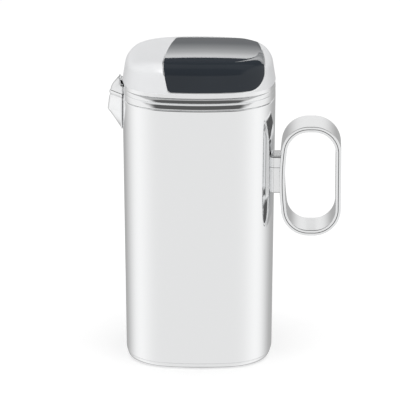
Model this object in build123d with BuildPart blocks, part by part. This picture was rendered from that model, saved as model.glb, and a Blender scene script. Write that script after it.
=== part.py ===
from build123d import *
import os
from math import acos, atan2, cos, degrees, radians, sin, sqrt, tan

os.makedirs("parts", exist_ok=True)

# Double-wall water pitcher, in millimetres. The origin is the centre of the foot on the table,
# +Z is up, the spout points to -X and the handle to +X. The lid lifts off and carries the
# spout's flap, which swings up on a cross pin.

# Plan of the pitcher at the seam: a rounded square with bowed sides
body_width = 120.0
side_bow_radius = 130.0
corner_radius = 40.0

# Heights of the body
seam_height = 209.5
side_draft = 0.65
base_line = 4.75
foot_height = 0.8

# Walls of the body
shell_wall = 0.9
wall_gap = 6.0
vessel_wall = 0.7
vessel_floor = 12.0
vessel_bottom_fillet = 10.0
shell_lip_width = 4.2
shell_lip_fillet = 1.3
shell_foot_fillet = 0.7

# Base
base_inset = 0.5
base_fillet = 3.2
base_plate = 2.0
base_spigot_height = 4.0
base_spigot_wall = 2.0
frame_height = 3.0
frame_width = 16.0
foot_ring_inset = 9.0
foot_ring_width = 5.0
foot_ring_height = 1.8
foot_ring_fillet = 0.4
base_screw_inset = 27.0
boss_radius = 4.2
pad_inset_gap = 4.0
pad_width = 6.0

# Neck and pour window
neck_depth = 9.0
vessel_lip = 0.8
window_drop = 20.5
window_margin = 0.7
window_corner = 3.0
window_frame = 3.0

# Spout lip on the body
spout_half_width = 15.0
spout_foot_half_width = 4.5
spout_nose_radius = 5.5
spout_foot_nose_radius = 4.0
spout_reach = 10.6
spout_top_reach = 8.8
spout_rise = 2.1
spout_tip_drop = 14.6
spout_depth = 30.1
spout_throat_reach = 5.6
spout_throat_drop = 6.5
spout_root = 6.0
spout_wall = 1.2
spout_seal = 0.8

# Lid
lid_gap = 0.3
ring_height = 11.5
ring_core_inset = 1.2
ring_low_bead = 5.0
ring_fine_bead = 1.9
ring_high_bead = 3.5
ring_line = 0.5
bead_fillet = 1.5
fine_bead_fillet = 0.7
bead_foot_fillet = 0.8
ring_width = 5.5
groove_height = 0.9
dome_wall = 2.4
dome_draft = 12.0
dome_height = 24.4
dome_shoulder = 18.0
crown_radius = 700.0
dome_boss_radius = 3.4
dome_boss_inset = 29.0
lid_screw_length = 9.5
upstand_wall = 1.4
upstand_height = 4.0
liner_plate = 2.2
plug_depth = 11.0
plug_wall = 1.8
plug_fillet = 0.8
plug_seal = 2.2
seal_height = 3.6
seal_rise = 2.5
seal_bite = 0.6

# Dark panel inlaid flush in the dome, wrapping from its top over its front
panel_thickness = 1.2
panel_trim_width = 0.8
panel_rear_inset = 14.5
panel_foot_rise = 1.7
panel_left_rear = 19.5
panel_left_bulge = 26.6
panel_left_front = 24.5
panel_left_brow = 27.0
panel_left_foot = 20.2
panel_brow_rise = 19.8
panel_right_rear_inset = 17.0
panel_right_bulge_inset = 9.5
panel_right_front_inset = 5.8
panel_left_fillet = 3.0
panel_rear_right_fillet = 12.0
panel_foot_right_fillet = 9.0

# Spout flap and its hinge
flap_gap = 0.4
flap_wall = 1.2
flap_reach = 8.4
flap_front_height = 5.2
flap_front_lean = 0.7
flap_brow_fillet = 2.2
hinge_out = 2.3
hinge_rise = 12.5
lug_drop = 3.5
knuckle_radius = 1.6
pin_radius = 0.8
pin_hold = 0.02
pin_run = 0.06
lug_half_width = 4.5
knuckle_half_width = 9.0

# Handle: a flat strap bent to a closed loop, on a two-part block
handle_gap = 3.5
loop_width = 48.3
loop_low = 99.2
loop_height = 87.9
loop_bow_radius = 200.0
loop_corner = 21.4
strap_thickness = 4.2
strap_depth = 39.0
strap_edge = 1.9
block_half_depth = 11.0
block_rise = 31.6
block_lower_height = 21.2
block_upper_height = 9.2
block_corner = 3.5
block_split_gap = 0.3
back_plate = 1.6
back_plate_margin = 3.0
screw_rises = (5.7, 15.2, 25.8)

# Fits
seat_gap = 0.05
fit_gap = 0.15
moving_gap = 0.3

# Screws
screw_radius = 1.5
screw_hole_gap = 0.15
screw_head_radius = 2.8
screw_head_height = 1.6
screw_head_fillet = 1.0
screw_tip_gap = 0.4

# How far a cutting form runs past what it cuts
cut_over = 1.0

# Places that follow from the sizes above
half_body = body_width / 2
base_screw_spacing = body_width - 2 * base_screw_inset
dome_boss_spacing = body_width - 2 * dome_boss_inset
window_sill = seam_height - window_drop
spout_top = seam_height + spout_rise
spout_tip_height = spout_top - spout_tip_drop
spout_foot_height = spout_top - spout_depth
ring_low = seam_height + lid_gap
ring_top = ring_low + ring_height
dome_base = ring_top + groove_height
dome_top = dome_base + dome_height
panel_rear = half_body - panel_rear_inset
panel_foot = dome_base + panel_foot_rise
hinge_x = -half_body - hinge_out
hinge_z = seam_height + hinge_rise
loop_near = half_body + handle_gap
loop_far = loop_near + loop_width
loop_high = loop_low + loop_height
block_low = loop_low + block_rise
block_split = block_low + block_lower_height
block_high = block_split + block_upper_height
screw_heights = [block_low + rise for rise in screw_rises]


def body_inset(height):
    """How far the drafted side stands in from the plan at the seam."""
    return (seam_height - height) * tan(radians(side_draft))


def plan_shape(inset):
    """The rounded square plan, parallel to the outline at the seam and this far inside it."""
    half = body_width / 2 - inset
    bow = side_bow_radius - inset
    corner = corner_radius - inset
    reach = bow - half
    centre = (sqrt(2 * (bow - corner) ** 2 - reach**2) - reach) / 2
    lean = degrees(atan2(centre, centre + reach))
    with BuildSketch() as shape:
        with BuildLine():
            for turn in (0, 90, 180, 270):
                side_centre = Vector(-reach, 0).rotate(Axis.Z, turn)
                corner_centre = Vector(centre, centre).rotate(Axis.Z, turn)
                CenterArc(side_centre, bow, turn - lean, 2 * lean)
                CenterArc(corner_centre, corner, turn + lean, 90 - 2 * lean)
        make_face()
    return shape.sketch


def straight_form(inset, low, high):
    """An upright block of the plan between two heights."""
    with BuildPart() as form:
        with BuildSketch(Plane.XY.offset(low)):
            add(plan_shape(inset))
        extrude(amount=high - low)
    return form.part


def body_form(inset, low, high):
    """The drafted block of the body between two heights, this far inside its outer face."""
    with BuildPart() as form:
        with BuildSketch(Plane.XY.offset(low)):
            add(plan_shape(inset + body_inset(low)))
        with BuildSketch(Plane.XY.offset(high)):
            add(plan_shape(inset + body_inset(high)))
        loft(ruled=True)
    return form.part


def dome_form(depth, low):
    """The pillow of the lid, or the same form this far under its surface."""
    side = depth / cos(radians(dome_draft))
    high = dome_top + dome_wall
    slope = tan(radians(dome_draft))
    with BuildPart() as form:
        with BuildSketch(Plane.XY.offset(low)):
            add(plan_shape(side + (low - dome_base) * slope))
        with BuildSketch(Plane.XY.offset(high)):
            add(plan_shape(side + (high - dome_base) * slope))
        loft(ruled=True)
        with Locations((0, 0, dome_top - crown_radius)):
            Sphere(crown_radius - depth, mode=Mode.INTERSECT)
        fillet(form.faces().sort_by(Axis.Z)[-1].edges(), dome_shoulder - depth)
    return form.part


def panel_region(shrink):
    """The space the dark panel takes: its outline from above, crossed with its outline from the front."""
    front_y = -half_body - 20
    middle = (front_y + panel_rear) / 2 + 9
    right_front = half_body - panel_right_front_inset
    right_bulge = half_body - panel_right_bulge_inset
    right_rear = half_body - panel_right_rear_inset
    with BuildPart() as region:
        with BuildSketch(Plane.XY.offset(dome_base - 2)) as above:
            with BuildLine():
                ThreePointArc((-panel_left_rear, panel_rear), (-panel_left_bulge, middle), (-panel_left_front, front_y))
                Line((-panel_left_front, front_y), (right_front, front_y))
                ThreePointArc((right_front, front_y), (right_bulge, middle), (right_rear, panel_rear))
                Line((right_rear, panel_rear), (-panel_left_rear, panel_rear))
            make_face()
            rear_corners = above.vertices().group_by(Axis.Y)[-1].sort_by(Axis.X)
            fillet(rear_corners[0], panel_left_fillet)
            fillet(above.vertices().group_by(Axis.Y)[-1].sort_by(Axis.X)[-1], panel_rear_right_fillet)
            offset(amount=-shrink)
        extrude(amount=dome_height * 2)
        with BuildSketch(Plane.XZ.offset(-body_width)) as front:
            with BuildLine():
                Polyline(
                    (-panel_left_brow - 1, dome_base + 2 * dome_height),
                    (-panel_left_brow, dome_base + panel_brow_rise),
                    (-panel_left_foot, panel_foot),
                    (right_front, panel_foot),
                    (right_front, dome_base + 2 * dome_height),
                    close=True,
                )
            make_face()
            fillet(front.vertices().group_by(Axis.Y)[0].sort_by(Axis.X)[0], panel_left_fillet)
            fillet(front.vertices().group_by(Axis.Y)[0].sort_by(Axis.X)[-1], panel_foot_right_fillet)
            offset(amount=-shrink)
        extrude(amount=2 * body_width, mode=Mode.INTERSECT)
    return region.part


def beak_plan(half_width, nose_radius, inset):
    """The beak from above: two straight cheeks from the wall, tangent to a round nose."""
    nose_x = -half_body - spout_reach + nose_radius
    run = sqrt((half_body + nose_x) ** 2 + half_width**2)
    turn = atan2(half_width, -half_body - nose_x) + acos(nose_radius / run)
    touch_x = nose_x + nose_radius * cos(turn)
    touch_y = nose_radius * sin(turn)
    with BuildSketch() as shape:
        with BuildLine():
            Polyline(
                (touch_x, touch_y),
                (-half_body, half_width),
                (-half_body + spout_root, half_width),
                (-half_body + spout_root, -half_width),
                (-half_body, -half_width),
                (touch_x, -touch_y),
            )
            ThreePointArc((touch_x, -touch_y), (nose_x - nose_radius, 0), (touch_x, touch_y))
        make_face()
        offset(amount=-inset)
    return shape.sketch


def beak_half_width(height):
    """Half the beak's width at the wall, narrowing downwards."""
    share = (height - spout_foot_height) / (spout_top - spout_foot_height)
    return spout_foot_half_width + (spout_half_width - spout_foot_half_width) * share


def spout_form(inset, high):
    """The spout's beak, solid up to this height: its side view crossed with a plan that narrows downwards."""
    root_x = -half_body + spout_root
    tip_x = -half_body - spout_reach + inset
    top_x = -half_body - spout_top_reach + inset
    foot = spout_foot_height + inset
    tip = spout_tip_height + inset
    over = spout_top + cut_over
    with BuildPart() as form:
        with BuildSketch(Plane.XY.offset(over)):
            add(beak_plan(beak_half_width(over), spout_nose_radius, inset))
        with BuildSketch(Plane.XY.offset(spout_foot_height)):
            add(beak_plan(spout_foot_half_width, spout_foot_nose_radius, inset))
        loft(ruled=True)
        with BuildSketch(Plane.XZ):
            with BuildLine():
                Polyline((tip_x, tip), (top_x, high), (root_x, high), (root_x, foot), (-half_body, foot))
                ThreePointArc(
                    (-half_body, foot),
                    (tip_x + spout_throat_reach, tip - spout_throat_drop),
                    (tip_x, tip),
                )
            make_face()
        extrude(amount=body_width, both=True, mode=Mode.INTERSECT)
    return form.part


def loop_shape(inset):
    """The handle's loop seen from the front, parallel to its outer edge."""
    middle = (loop_low + loop_high) / 2
    half = (loop_high - loop_low) / 2 - inset
    bow = loop_bow_radius - inset
    near = loop_near + inset
    far = loop_far - inset
    shoulder = near + bow - sqrt(bow**2 - half**2)
    with BuildSketch() as shape:
        with BuildLine():
            ThreePointArc((shoulder, middle - half), (near, middle), (shoulder, middle + half))
            Line((shoulder, middle + half), (far, middle + half))
            Line((far, middle + half), (far, middle - half))
            Line((far, middle - half), (shoulder, middle - half))
        make_face()
        fillet(shape.vertices(), loop_corner - inset)
    return shape.sketch


def window_form(grow):
    """The pour window's prism through the -X wall, inside the beak's own walls."""
    low = window_sill - grow
    high = seam_height + 10
    low_half = beak_half_width(window_sill) - spout_wall - window_margin + grow
    high_half = beak_half_width(high) - spout_wall - window_margin + grow
    with BuildPart() as form:
        with BuildSketch(Plane.YZ.offset(-body_width)) as shape:
            with BuildLine():
                Polyline((-low_half, low), (low_half, low), (high_half, high), (-high_half, high), close=True)
            make_face()
            fillet(shape.vertices().group_by(Axis.Y)[0], window_corner)
        extrude(amount=body_width)
    return form.part


def screw(length):
    """A pan head screw along +Z, its head's seat at the origin and its shank above it."""
    with BuildPart() as form:
        with BuildSketch(Plane.XZ) as profile:
            with BuildLine():
                Polyline(
                    (0, -screw_head_height),
                    (screw_head_radius, -screw_head_height),
                    (screw_head_radius, 0),
                    (screw_radius, 0),
                    (screw_radius, length),
                    (0, length),
                    close=True,
                )
            make_face()
            fillet(profile.vertices().sort_by(Axis.Y)[0:2].sort_by(Axis.X)[-1], screw_head_fillet)
        revolve(axis=Axis.Z)
    return form.part


# Outer shell: a drafted sheet steel sleeve with its top edge turned in to a lip
hole_radius = screw_radius + screw_hole_gap
with BuildPart() as outer_shell:
    add(body_form(0, base_line, seam_height))
    fillet(outer_shell.faces().sort_by(Axis.Z)[-1].edges(), shell_lip_fillet)
    fillet(outer_shell.faces().sort_by(Axis.Z)[0].edges(), shell_foot_fillet)
    add(body_form(shell_wall, base_line - 1, seam_height - shell_wall), mode=Mode.SUBTRACT)
    add(straight_form(shell_lip_width, base_line, seam_height + 1), mode=Mode.SUBTRACT)
    add(window_form(0), mode=Mode.SUBTRACT)
    with BuildSketch(Plane.YZ.offset(body_width / 4)):
        with Locations(*[(0, height) for height in screw_heights]):
            Circle(hole_radius)
    extrude(amount=40, mode=Mode.SUBTRACT)
outer_shell.part.label = "outer_shell"
export_step(outer_shell.part, "parts/outer_shell.step")

# Neck ring: joins the two walls under the lip and frames the pour window
vessel_outside = shell_wall + wall_gap
neck_top = seam_height - shell_wall - seat_gap
vessel_lip_top = neck_top
vessel_lip_low = vessel_lip_top - vessel_lip
neck_low = neck_top - neck_depth
with BuildPart() as neck_ring:
    add(body_form(shell_wall + fit_gap, neck_low, neck_top))
    fillet(neck_ring.faces().sort_by(Axis.Z)[-1].edges(), shell_lip_fillet)
    add(window_form(window_frame))
    add(body_form(shell_wall + fit_gap, window_sill - 2 * window_frame, neck_top), mode=Mode.INTERSECT)
    add(body_form(vessel_outside - fit_gap, window_sill - 20, seam_height + 1), mode=Mode.SUBTRACT)
    add(straight_form(shell_lip_width + fit_gap, vessel_lip_low, seam_height + 1), mode=Mode.SUBTRACT)
    add(window_form(0), mode=Mode.SUBTRACT)
neck_ring.part.label = "neck_ring"
export_step(neck_ring.part, "parts/neck_ring.step")


def vessel_form(inset, low, high, edge):
    """The deep drawn form of the vessel: drafted sides and a rounded floor."""
    with BuildPart() as form:
        add(body_form(inset, low, high))
        fillet(form.faces().sort_by(Axis.Z)[0].edges(), edge)
    return form.part


# Inner vessel: deep drawn steel with a rounded floor and a lip that hangs on the neck ring
with BuildPart() as inner_vessel:
    add(vessel_form(vessel_outside, vessel_floor, vessel_lip_top, vessel_bottom_fillet))
    add(straight_form(shell_lip_width + 2 * fit_gap, vessel_lip_low + seat_gap, vessel_lip_top))
    add(vessel_form(vessel_outside + vessel_wall, vessel_floor + vessel_wall, seam_height + cut_over,
                    vessel_bottom_fillet - vessel_wall), mode=Mode.SUBTRACT)
    add(window_form(0), mode=Mode.SUBTRACT)
inner_vessel.part.label = "inner_vessel"
export_step(inner_vessel.part, "parts/inner_vessel.step")

# Vessel pad: soft ring that carries the vessel's floor on the base frame
frame_low = base_line + seat_gap
frame_top = frame_low + frame_height
pad_inset = vessel_outside + vessel_bottom_fillet + pad_inset_gap
with BuildPart() as vessel_pad:
    add(straight_form(pad_inset, frame_top + seat_gap, vessel_floor - seat_gap))
    add(straight_form(pad_inset + pad_width, frame_top, vessel_floor), mode=Mode.SUBTRACT)
vessel_pad.part.label = "vessel_pad"
export_step(vessel_pad.part, "parts/vessel_pad.step")

# Base frame: flat ring fixed inside the foot of the shell, with a boss at each corner
screw_places = [(x, y) for x in (-base_screw_spacing / 2, base_screw_spacing / 2)
                for y in (-base_screw_spacing / 2, base_screw_spacing / 2)]
spigot_outside = body_inset(base_line) + shell_wall + fit_gap
with BuildPart() as base_frame:
    add(straight_form(spigot_outside + base_spigot_wall + fit_gap, frame_low, frame_top))
    add(straight_form(spigot_outside + base_spigot_wall + frame_width, frame_low - 1, frame_top + 1),
        mode=Mode.SUBTRACT)
    with Locations(*[(x, y, frame_low) for x, y in screw_places]):
        Cylinder(boss_radius, frame_height, align=(Align.CENTER, Align.CENTER, Align.MIN))
    with Locations(*[(x, y, frame_low) for x, y in screw_places]):
        Cylinder(screw_radius + pin_hold, frame_height, align=(Align.CENTER, Align.CENTER, Align.MIN),
                 mode=Mode.SUBTRACT)
base_frame.part.label = "base_frame"
export_step(base_frame.part, "parts/base_frame.step")

# Base cap: closes the foot, with a rounded lower edge and a spigot inside the shell
cap_seat = foot_height + base_plate
with BuildPart() as base_cap:
    add(body_form(base_inset, foot_height, base_line - seat_gap))
    fillet(base_cap.faces().sort_by(Axis.Z)[0].edges(), base_fillet)
    add(straight_form(spigot_outside, cap_seat, base_line + base_spigot_height))
    add(straight_form(spigot_outside + base_spigot_wall, cap_seat, base_line + 10), mode=Mode.SUBTRACT)
    with Locations(*[(x, y, cap_seat) for x, y in screw_places]):
        Cylinder(boss_radius, frame_low - seat_gap - cap_seat, align=(Align.CENTER, Align.CENTER, Align.MIN))
    with Locations(*[(x, y, 0) for x, y in screw_places]):
        Cylinder(hole_radius, 10, align=(Align.CENTER, Align.CENTER, Align.MIN), mode=Mode.SUBTRACT)
    with Locations(*[(x, y, 0) for x, y in screw_places]):
        Cylinder(screw_head_radius + fit_gap, foot_height + screw_head_height + fit_gap,
                 align=(Align.CENTER, Align.CENTER, Align.MIN), mode=Mode.SUBTRACT)
    add(straight_form(foot_ring_inset - fit_gap, 0, foot_ring_height + seat_gap)
        - straight_form(foot_ring_inset + foot_ring_width + fit_gap, -1, foot_ring_height + 1),
        mode=Mode.SUBTRACT)
base_cap.part.label = "base_cap"
export_step(base_cap.part, "parts/base_cap.step")

# Base screws, up through the cap into the frame
screw_seat = foot_height + screw_head_height + fit_gap
with BuildPart() as base_screws:
    with Locations(*[(x, y, screw_seat) for x, y in screw_places]):
        add(screw(frame_top - screw_seat - screw_tip_gap))
base_screws.part.label = "base_screws"
export_step(base_screws.part, "parts/base_screws.step")

# Foot ring: the rubber tread the pitcher stands on
with BuildPart() as foot_ring:
    add(straight_form(foot_ring_inset, 0, foot_ring_height))
    fillet(foot_ring.faces().sort_by(Axis.Z)[0].edges(), foot_ring_fillet)
    add(straight_form(foot_ring_inset + foot_ring_width, -1, foot_ring_height + 1), mode=Mode.SUBTRACT)
foot_ring.part.label = "foot_ring"
export_step(foot_ring.part, "parts/foot_ring.step")

# Spout lip: the beak below the flap, hollow and open at the top and to the pour window
with BuildPart() as spout_lip:
    add(spout_form(0, spout_top))
    add(spout_form(spout_wall, spout_top + cut_over), mode=Mode.SUBTRACT)
    add(body_form(-spout_seal, spout_foot_height - spout_seal, spout_top + cut_over), mode=Mode.SUBTRACT)
spout_lip.part.label = "spout_lip"
export_step(spout_lip.part, "parts/spout_lip.step")

# Spout gasket: fills the joint between the beak and the shell
with BuildPart() as spout_gasket:
    add(spout_form(0, seam_height))
    add(spout_form(spout_wall, seam_height + cut_over), mode=Mode.SUBTRACT)
    add(body_form(seat_gap - spout_seal, spout_foot_height - cut_over, seam_height), mode=Mode.INTERSECT)
    add(body_form(-seat_gap, spout_foot_height - 2 * cut_over, seam_height + cut_over), mode=Mode.SUBTRACT)
spout_gasket.part.label = "spout_gasket"
export_step(spout_gasket.part, "parts/spout_gasket.step")

# Handle band: a flat strap bent to a closed loop, its edges fully rounded
with BuildPart() as handle_band:
    with BuildSketch(Plane.XZ):
        add(loop_shape(0))
        add(loop_shape(strap_thickness), mode=Mode.SUBTRACT)
    extrude(amount=strap_depth / 2, both=True)
    rims = handle_band.faces().filter_by(Axis.Y)
    fillet(rims.edges(), strap_edge)
    with BuildSketch(Plane.YZ.offset(loop_near - 2)):
        with Locations(*[(0, height) for height in screw_heights]):
            Circle(screw_radius + pin_hold)
    extrude(amount=2 + strap_thickness * 0.75, mode=Mode.SUBTRACT)
handle_band.part.label = "handle_band"
export_step(handle_band.part, "parts/handle_band.step")


def block_form(low, high):
    """A block between the shell's side and the handle, seated on both."""
    with BuildPart() as form:
        with BuildSketch(Plane.YZ.offset(body_width / 4)):
            with Locations((0, (low + high) / 2)):
                Rectangle(2 * block_half_depth, high - low)
        extrude(amount=loop_near + strap_thickness - body_width / 4)
        with BuildSketch(Plane.YZ.offset(body_width / 4)):
            with Locations(*[(0, height) for height in screw_heights]):
                Circle(hole_radius)
        extrude(amount=body_width, mode=Mode.SUBTRACT)
        add(body_form(-seat_gap, low - cut_over, high + cut_over), mode=Mode.SUBTRACT)
        with BuildSketch(Plane.XZ):
            add(loop_shape(-seat_gap))
        extrude(amount=strap_depth, both=True, mode=Mode.SUBTRACT)
    return form.part


# Body bracket: the lower block, its bottom corners rounded
with BuildPart() as body_bracket:
    add(block_form(block_low, block_split - block_split_gap / 2))
    bottom = body_bracket.edges().filter_by(Axis.X, tolerance=10).group_by(Axis.Z)[0]
    fillet(bottom, block_corner)
body_bracket.part.label = "body_bracket"
export_step(body_bracket.part, "parts/body_bracket.step")

# Handle block: the upper block, fixed to the handle
with BuildPart() as handle_block:
    add(block_form(block_split + block_split_gap / 2, block_high))
    top = handle_block.edges().filter_by(Axis.X, tolerance=10).group_by(Axis.Z)[-1]
    fillet(top, block_corner / 2)
handle_block.part.label = "handle_block"
export_step(handle_block.part, "parts/handle_block.step")

# Back plate: spreads the handle's load on the inside of the shell
plate_outside = shell_wall + seat_gap
with BuildPart() as back_plate_part:
    with BuildSketch(Plane.YZ.offset(body_width / 4)):
        with Locations((0, (block_low + block_high) / 2)):
            RectangleRounded(
                2 * (block_half_depth + back_plate_margin / 2),
                block_high - block_low + 2 * back_plate_margin,
                block_corner,
            )
    extrude(amount=body_width / 2)
    add(body_form(plate_outside, block_low - 20, block_high + 20), mode=Mode.INTERSECT)
    add(body_form(plate_outside + back_plate, block_low - 30, block_high + 30), mode=Mode.SUBTRACT)
    with BuildSketch(Plane.YZ.offset(body_width / 4)):
        with Locations(*[(0, height) for height in screw_heights]):
            Circle(hole_radius)
    extrude(amount=40, mode=Mode.SUBTRACT)
back_plate_part.part.label = "handle_back_plate"
export_step(back_plate_part.part, "parts/handle_back_plate.step")

# Handle screws, from inside the shell through the blocks into the strap
plate_inside = body_width / 2 - plate_outside - back_plate
with BuildPart() as handle_screws:
    for height in screw_heights:
        seat_x = plate_inside - body_inset(height) - seat_gap
        with Locations(Location((seat_x, 0, height), (0, 90, 0))):
            add(screw(loop_near + strap_thickness * 0.65 - seat_x))
handle_screws.part.label = "handle_screws"
export_step(handle_screws.part, "parts/handle_screws.step")

# Lid ring: bright moulding of three beads between the seam and the shadow groove
fine_low = ring_low + ring_low_bead + ring_line
bead_rows = (
    (ring_low, ring_low + ring_low_bead, 0.1, bead_fillet),
    (fine_low, fine_low + ring_fine_bead, 0.3, fine_bead_fillet),
    (ring_top - ring_high_bead, ring_top, 0.2, bead_fillet),
)
upstand_inset = dome_wall + fit_gap
hinge_low = hinge_z - knuckle_radius


def bead_form(low, high, inset, edge):
    """One bead of the moulding, solid across, its lower edge softened and its upper edge rolled."""
    with BuildPart() as form:
        add(straight_form(inset, low, high))
        fillet(form.faces().sort_by(Axis.Z)[0].edges(), min(edge, bead_foot_fillet))
        fillet(form.faces().sort_by(Axis.Z)[-1].edges(), edge)
    return form.part


with BuildPart() as lid_ring:
    add(straight_form(ring_core_inset, ring_low, ring_top))
    for low, high, inset, edge in bead_rows:
        add(bead_form(low, high, inset, edge))
    add(straight_form(upstand_inset + (upstand_height + groove_height) * tan(radians(dome_draft)),
                      ring_top, ring_top + groove_height + upstand_height))
    add(straight_form(ring_width, ring_low - 1, dome_top), mode=Mode.SUBTRACT)
    with BuildSketch(Plane.XZ):
        with BuildLine():
            Polyline(
                (-body_width / 2 + 3, hinge_z - lug_drop),
                (-body_width / 2, hinge_z - lug_drop),
                (hinge_x - knuckle_radius * 0.75, hinge_z - knuckle_radius * 0.66),
                (hinge_x, hinge_z),
                (hinge_x + knuckle_radius * 0.7, hinge_z - 0.7),
                (-body_width / 2 + 3, hinge_z - 0.7),
                close=True,
            )
        make_face()
    extrude(amount=lug_half_width, both=True)
    with BuildSketch(Plane.XZ):
        with Locations((hinge_x, hinge_z)):
            Circle(knuckle_radius)
    extrude(amount=lug_half_width, both=True)
    with BuildSketch(Plane.XZ):
        with Locations((hinge_x, hinge_z)):
            Circle(pin_radius + pin_hold)
    extrude(amount=lug_half_width, both=True, mode=Mode.SUBTRACT)
lid_ring.part.label = "lid_ring"
export_step(lid_ring.part, "parts/lid_ring.step")

# Lid dome: a pillow-shaped cover, hollow, with a recess for the panel and four screw bosses
boss_places = [(x, y) for x in (-dome_boss_spacing / 2, dome_boss_spacing / 2)
               for y in (-dome_boss_spacing / 2, dome_boss_spacing / 2)]
liner_low = ring_low
liner_top = liner_low + liner_plate
with BuildPart() as lid_dome:
    with Locations(*[(x, y, liner_top + seat_gap) for x, y in boss_places]):
        Cylinder(dome_boss_radius, dome_top, align=(Align.CENTER, Align.CENTER, Align.MIN))
    add(dome_form(dome_wall / 2, liner_top - 1), mode=Mode.INTERSECT)
    add(dome_form(0, dome_base) - dome_form(dome_wall, dome_base - 3))
    with Locations(*[(x, y, 0) for x, y in boss_places]):
        Cylinder(screw_radius + pin_hold, liner_top + 10, align=(Align.CENTER, Align.CENTER, Align.MIN),
                 mode=Mode.SUBTRACT)
    add((dome_form(-1, dome_base - 5) - dome_form(panel_thickness + seat_gap, dome_base - 5))
        & panel_region(0), mode=Mode.SUBTRACT)
lid_dome.part.label = "lid_dome"
export_step(lid_dome.part, "parts/lid_dome.step")

# Panel trim: a fine bright border round the panel
with BuildPart() as panel_trim:
    add(dome_form(0, dome_base))
    add(dome_form(panel_thickness, dome_base - 5), mode=Mode.SUBTRACT)
    add(panel_region(seat_gap), mode=Mode.INTERSECT)
    add(panel_region(panel_trim_width), mode=Mode.SUBTRACT)
panel_trim.part.label = "panel_trim"
export_step(panel_trim.part, "parts/panel_trim.step")

# Lid panel: glossy dark inlay, flush with the dome
with BuildPart() as lid_panel:
    add(dome_form(0, dome_base))
    add(dome_form(panel_thickness, dome_base - 5), mode=Mode.SUBTRACT)
    add(panel_region(panel_trim_width + seat_gap), mode=Mode.INTERSECT)
lid_panel.part.label = "lid_panel"
export_step(lid_panel.part, "parts/lid_panel.step")

# Lid liner: floor of the lid with the plug that enters the vessel's mouth
mouth_inset = vessel_outside + vessel_wall + body_inset(liner_low - plug_depth)
plug_inset = mouth_inset + moving_gap + plug_seal
plug_low = liner_low - plug_depth
with BuildPart() as lid_liner:
    add(straight_form(ring_width + fit_gap, liner_low, liner_top))
    add(straight_form(plug_inset, plug_low, liner_low + 0.5))
    fillet(lid_liner.faces().sort_by(Axis.Z)[0].edges(), plug_fillet)
    add(straight_form(plug_inset + plug_wall, plug_low - 1, liner_low + 0.2), mode=Mode.SUBTRACT)
    with Locations(*[(x, y, liner_low) for x, y in boss_places]):
        Cylinder(hole_radius, 10, align=(Align.CENTER, Align.CENTER, Align.CENTER), mode=Mode.SUBTRACT)
    seal_low = plug_low + seal_rise
    add(straight_form(plug_inset - 1, seal_low, seal_low + seal_height)
        - straight_form(plug_inset + seal_bite, seal_low - 1, seal_low + seal_height + 1), mode=Mode.SUBTRACT)
lid_liner.part.label = "lid_liner"
export_step(lid_liner.part, "parts/lid_liner.step")

# Lid gasket: silicone ring in the plug's groove
with BuildPart() as lid_gasket:
    add(straight_form(mouth_inset + moving_gap, seal_low + seat_gap, seal_low + seal_height - seat_gap))
    fillet(lid_gasket.edges().group_by(Axis.Z)[0], plug_fillet)
    fillet(lid_gasket.edges().group_by(Axis.Z)[-1], plug_fillet)
    add(straight_form(plug_inset + seal_bite - seat_gap, seal_low - 1, seal_low + seal_height + 1),
        mode=Mode.SUBTRACT)
lid_gasket.part.label = "lid_gasket"
export_step(lid_gasket.part, "parts/lid_gasket.step")

# Lid screws, from under the liner up into the dome's bosses
with BuildPart() as lid_screws:
    with Locations(*[(x, y, liner_low + 0.2 - seat_gap) for x, y in boss_places]):
        add(screw(lid_screw_length))
lid_screws.part.label = "lid_screws"
export_step(lid_screws.part, "parts/lid_screws.step")

# Spout flap: the hood over the beak, with two knuckles on the cross pin
flap_low = spout_top + flap_gap
flap_front = -body_width / 2 - flap_reach


def flap_form(inset):
    """The hood, solid: its side view crossed with the beak's plan."""
    low = flap_low - 2 * inset
    front_x = flap_front + inset
    behind_x = hinge_x + knuckle_radius
    with BuildPart() as form:
        with BuildSketch(Plane.XY.offset(flap_low - cut_over)):
            add(beak_plan(spout_half_width, spout_nose_radius, inset))
        extrude(amount=2 * hinge_rise)
        with BuildSketch(Plane.XZ) as side:
            with BuildLine():
                Polyline(
                    (behind_x, low),
                    (front_x, low),
                    (front_x + flap_front_lean, flap_low + flap_front_height),
                    (hinge_x - knuckle_radius / 2, hinge_z + knuckle_radius - inset),
                    (hinge_x, hinge_z + knuckle_radius - inset),
                    (behind_x, hinge_z - inset),
                    close=True,
                )
            make_face()
            fillet(side.vertices().sort_by(Axis.X)[1], flap_brow_fillet)
        extrude(amount=body_width, both=True, mode=Mode.INTERSECT)
    return form.part


with BuildPart() as spout_flap:
    add(flap_form(0))
    add(flap_form(flap_wall), mode=Mode.SUBTRACT)
    with BuildSketch(Plane.XZ):
        with Locations((hinge_x, hinge_z)):
            Circle(knuckle_radius)
    extrude(amount=knuckle_half_width, both=True)
    with BuildSketch(Plane.XZ):
        with Locations((hinge_x, hinge_z)):
            Circle(pin_radius + pin_run)
    extrude(amount=30, both=True, mode=Mode.SUBTRACT)
    with BuildSketch(Plane.XZ):
        with Locations((hinge_x, hinge_z)):
            Circle(knuckle_radius + moving_gap)
        with Locations((hinge_x + 3, hinge_z)):
            Rectangle(6, 2 * (knuckle_radius + moving_gap) + 4)
    extrude(amount=lug_half_width + moving_gap, both=True, mode=Mode.SUBTRACT)
spout_flap.part.label = "spout_flap"
export_step(spout_flap.part, "parts/spout_flap.step")

# Flap pin
with BuildPart() as flap_pin:
    with BuildSketch(Plane.XZ):
        with Locations((hinge_x, hinge_z)):
            Circle(pin_radius)
    extrude(amount=knuckle_half_width - 0.5, both=True)
flap_pin.part.label = "flap_pin"
export_step(flap_pin.part, "parts/flap_pin.step")
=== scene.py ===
import math

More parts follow.
